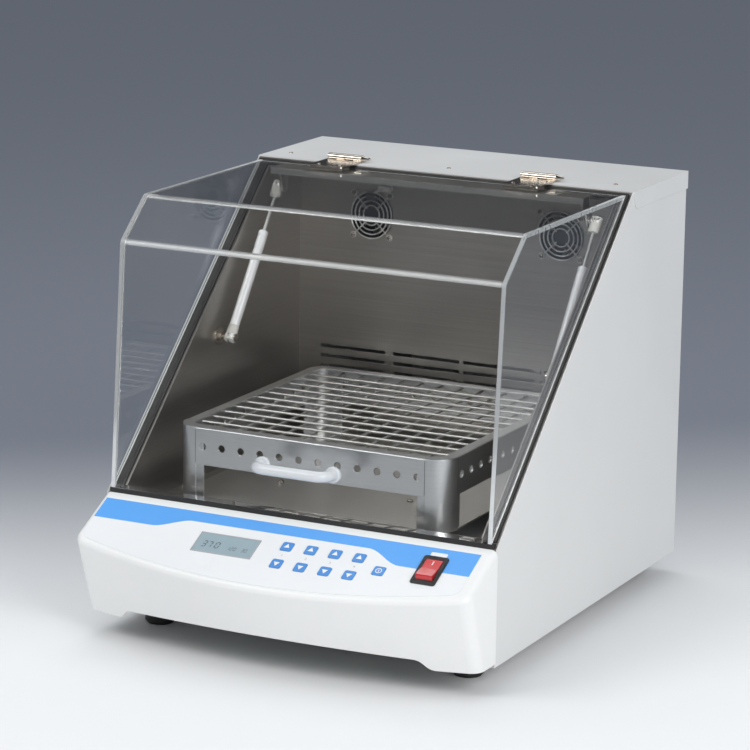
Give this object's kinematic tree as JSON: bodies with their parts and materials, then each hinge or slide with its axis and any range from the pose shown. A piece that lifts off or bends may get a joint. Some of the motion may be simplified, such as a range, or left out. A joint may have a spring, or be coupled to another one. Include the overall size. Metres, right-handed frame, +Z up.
{
  "type": "orbital shaking incubator",
  "caption": "Bench-top orbital shaking incubator: clear lifting hood on gas struts, stainless chamber, orbiting wire flask rack, sloped key panel.",
  "frame": {"origin": "on the bench, under the middle of the whole body", "axes": "+Z up, +Y from the control panel to the rear panel, +X to the right seen from the front"},
  "size_m": [0.5, 0.63, 0.5108],
  "materials": {
    "painted_case": "satin powder coat",
    "stainless": "brushed",
    "rack_aluminium": "satin",
    "wire_steel": "polished wire",
    "hardware": "nickel plate",
    "strut_tube": "silver lacquer",
    "strut_rod": "polished",
    "gasket": "matt",
    "clear_acrylic": "polished clear",
    "white_plastic": "fine texture",
    "overlay": "printed film",
    "display": "clear window",
    "blue_keys": "printed film",
    "black_plastic": "fine texture",
    "red_rocker": "translucent gloss",
    "circuit": "lacquered board",
    "foam": "foam",
    "drive_steel": "machined",
    "drive_alloy": "machined"
  },
  "bodies": {
    "case": {"left_side_panel": "painted_case", "right_side_panel": "painted_case", "top_cover": "painted_case", "rear_panel": "painted_case", "base_pan": "painted_case", "chamber_liner": "stainless", "rim_flange": "stainless", "heater_element": "stainless", "fan_guards": "wire_steel", "hinge_cover_leaves": "hardware", "strut_wall_studs": "hardware", "rim_gasket": "gasket", "rubber_feet": "gasket", "drive_belt": "gasket", "front_fascia": "white_plastic", "sensor_cap": "white_plastic", "control_overlay": "overlay", "lcd_window": "display", "switch_bezel": "black_plastic", "fan_frames": "black_plastic", "power_inlet": "black_plastic", "control_board": "circuit", "power_supply": "circuit", "wall_insulation": "foam", "drive_plate": "drive_steel", "bearing_housing": "drive_steel", "shaft_bearings": "drive_steel", "drive_motor": "drive_alloy"},
    "lid": {"hood_shell": "clear_acrylic", "hood_sides": "clear_acrylic", "lid_stiffener": "stainless", "lid_handle": "white_plastic", "hinge_lid_leaves": "hardware"},
    "left_tube": {"left_strut_tube": "strut_tube"},
    "left_rod": {"left_strut_rod": "strut_rod"},
    "right_tube": {"right_strut_tube": "strut_tube"},
    "right_rod": {"right_strut_rod": "strut_rod"},
    "crank": {"crank_shaft": "drive_steel", "counterweight": "drive_steel", "main_pulley": "drive_alloy"},
    "platform": {"platform_spider": "rack_aluminium", "rack_base": "stainless", "rack_frame": "rack_aluminium", "rack_wires": "wire_steel"},
    "idler_1": {"idler_crank_1": "drive_steel"},
    "idler_2": {"idler_crank_2": "drive_steel"},
    "idler_3": {"idler_crank_3": "drive_steel"},
    "motor_shaft": {"motor_pulley": "drive_alloy"},
    "left_fan": {"left_fan_rotor": "black_plastic"},
    "right_fan": {"right_fan_rotor": "black_plastic"},
    "rocker": {"power_rocker": "red_rocker"},
    "key_up_1_body": {"key_up_1": "blue_keys"},
    "key_up_2_body": {"key_up_2": "blue_keys"},
    "key_up_3_body": {"key_up_3": "blue_keys"},
    "key_up_4_body": {"key_up_4": "blue_keys"},
    "key_down_1_body": {"key_down_1": "blue_keys"},
    "key_down_2_body": {"key_down_2": "blue_keys"},
    "key_down_3_body": {"key_down_3": "blue_keys"},
    "key_down_4_body": {"key_down_4": "blue_keys"},
    "key_start_body": {"key_start": "blue_keys"}
  },
  "joints": [
    {"name": "lid_hinge", "type": "hinge", "parent": "case", "child": "lid", "pos_m": [0, 0.163, 0.5066], "axis": [-1, 0, 0], "range_deg": [0, 75]},
    {"name": "left_strut_swing", "type": "hinge", "parent": "case", "child": "left_tube", "pos_m": [-0.209, 0.008, 0.3046], "axis": [1, 0, 0], "range_deg": [0, 10.74]},
    {"name": "left_rod_slide", "type": "slide", "parent": "left_tube", "child": "left_rod", "axis": [0, 0.5808, 0.8141], "range_m": [0, 0.05421]},
    {"name": "right_strut_swing", "type": "hinge", "parent": "case", "child": "right_tube", "pos_m": [0.209, 0.008, 0.3046], "axis": [1, 0, 0], "range_deg": [0, 10.74]},
    {"name": "right_rod_slide", "type": "slide", "parent": "right_tube", "child": "right_rod", "axis": [0, 0.5808, 0.8141], "range_m": [0, 0.05421]},
    {"name": "crank_spin", "type": "hinge", "parent": "case", "child": "crank", "pos_m": [0, 0.0101, 0.142], "axis": [0, 0, 1], "continuous": true},
    {"name": "platform_orbit", "type": "hinge", "parent": "crank", "child": "platform", "pos_m": [-0.0065, 0.0025, 0.147], "axis": [0, 0, 1], "continuous": true},
    {"name": "idler_spin_1", "type": "hinge", "parent": "case", "child": "idler_1", "pos_m": [0, 0.1281, 0.1285], "axis": [0, 0, 1], "continuous": true},
    {"name": "idler_spin_2", "type": "hinge", "parent": "case", "child": "idler_2", "pos_m": [-0.10219, -0.0489, 0.1285], "axis": [0, 0, 1], "continuous": true},
    {"name": "idler_spin_3", "type": "hinge", "parent": "case", "child": "idler_3", "pos_m": [0.10219, -0.0489, 0.1285], "axis": [0, 0, 1], "continuous": true},
    {"name": "motor_spin", "type": "hinge", "parent": "case", "child": "motor_shaft", "pos_m": [0, 0.185, 0.056], "axis": [0, 0, 1], "continuous": true},
    {"name": "left_fan_spin", "type": "hinge", "parent": "case", "child": "left_fan", "pos_m": [-0.126, 0.2262, 0.425], "axis": [0, 1, 0], "continuous": true},
    {"name": "right_fan_spin", "type": "hinge", "parent": "case", "child": "right_fan", "pos_m": [0.126, 0.2262, 0.425], "axis": [0, 1, 0], "continuous": true},
    {"name": "key_up_1_press", "type": "slide", "parent": "case", "child": "key_up_1_body", "axis": [0, 0.4571, -0.8894], "range_m": [0, 0.0006], "stiffness_N_per_m": 2500},
    {"name": "key_up_2_press", "type": "slide", "parent": "case", "child": "key_up_2_body", "axis": [0, 0.4571, -0.8894], "range_m": [0, 0.0006], "stiffness_N_per_m": 2500},
    {"name": "key_up_3_press", "type": "slide", "parent": "case", "child": "key_up_3_body", "axis": [0, 0.4571, -0.8894], "range_m": [0, 0.0006], "stiffness_N_per_m": 2500},
    {"name": "key_up_4_press", "type": "slide", "parent": "case", "child": "key_up_4_body", "axis": [0, 0.4571, -0.8894], "range_m": [0, 0.0006], "stiffness_N_per_m": 2500},
    {"name": "key_down_1_press", "type": "slide", "parent": "case", "child": "key_down_1_body", "axis": [0, 0.4571, -0.8894], "range_m": [0, 0.0006], "stiffness_N_per_m": 2500},
    {"name": "key_down_2_press", "type": "slide", "parent": "case", "child": "key_down_2_body", "axis": [0, 0.4571, -0.8894], "range_m": [0, 0.0006], "stiffness_N_per_m": 2500},
    {"name": "key_down_3_press", "type": "slide", "parent": "case", "child": "key_down_3_body", "axis": [0, 0.4571, -0.8894], "range_m": [0, 0.0006], "stiffness_N_per_m": 2500},
    {"name": "key_down_4_press", "type": "slide", "parent": "case", "child": "key_down_4_body", "axis": [0, 0.4571, -0.8894], "range_m": [0, 0.0006], "stiffness_N_per_m": 2500},
    {"name": "key_start_press", "type": "slide", "parent": "case", "child": "key_start_body", "axis": [0, 0.4571, -0.8894], "range_m": [0, 0.0006], "stiffness_N_per_m": 2500},
    {"name": "rocker_tilt", "type": "hinge", "parent": "case", "child": "rocker", "pos_m": [0.188, -0.2537, 0.13571], "axis": [1, 0, 0], "range_deg": [0, 18]}
  ],
  "couplings": [
    {"joint": "left_strut_swing", "follows": "lid_hinge", "ratio": 0.14307},
    {"joint": "left_rod_slide", "follows": "lid_hinge", "m_per_rad": 0.041397},
    {"joint": "right_strut_swing", "follows": "lid_hinge", "ratio": 0.14307},
    {"joint": "right_rod_slide", "follows": "lid_hinge", "m_per_rad": 0.041397},
    {"joint": "platform_orbit", "follows": "crank_spin", "ratio": -1},
    {"joint": "idler_spin_1", "follows": "crank_spin", "ratio": 1},
    {"joint": "idler_spin_2", "follows": "crank_spin", "ratio": 1},
    {"joint": "idler_spin_3", "follows": "crank_spin", "ratio": 1},
    {"joint": "motor_spin", "follows": "crank_spin", "ratio": 3.1818}
  ]
}
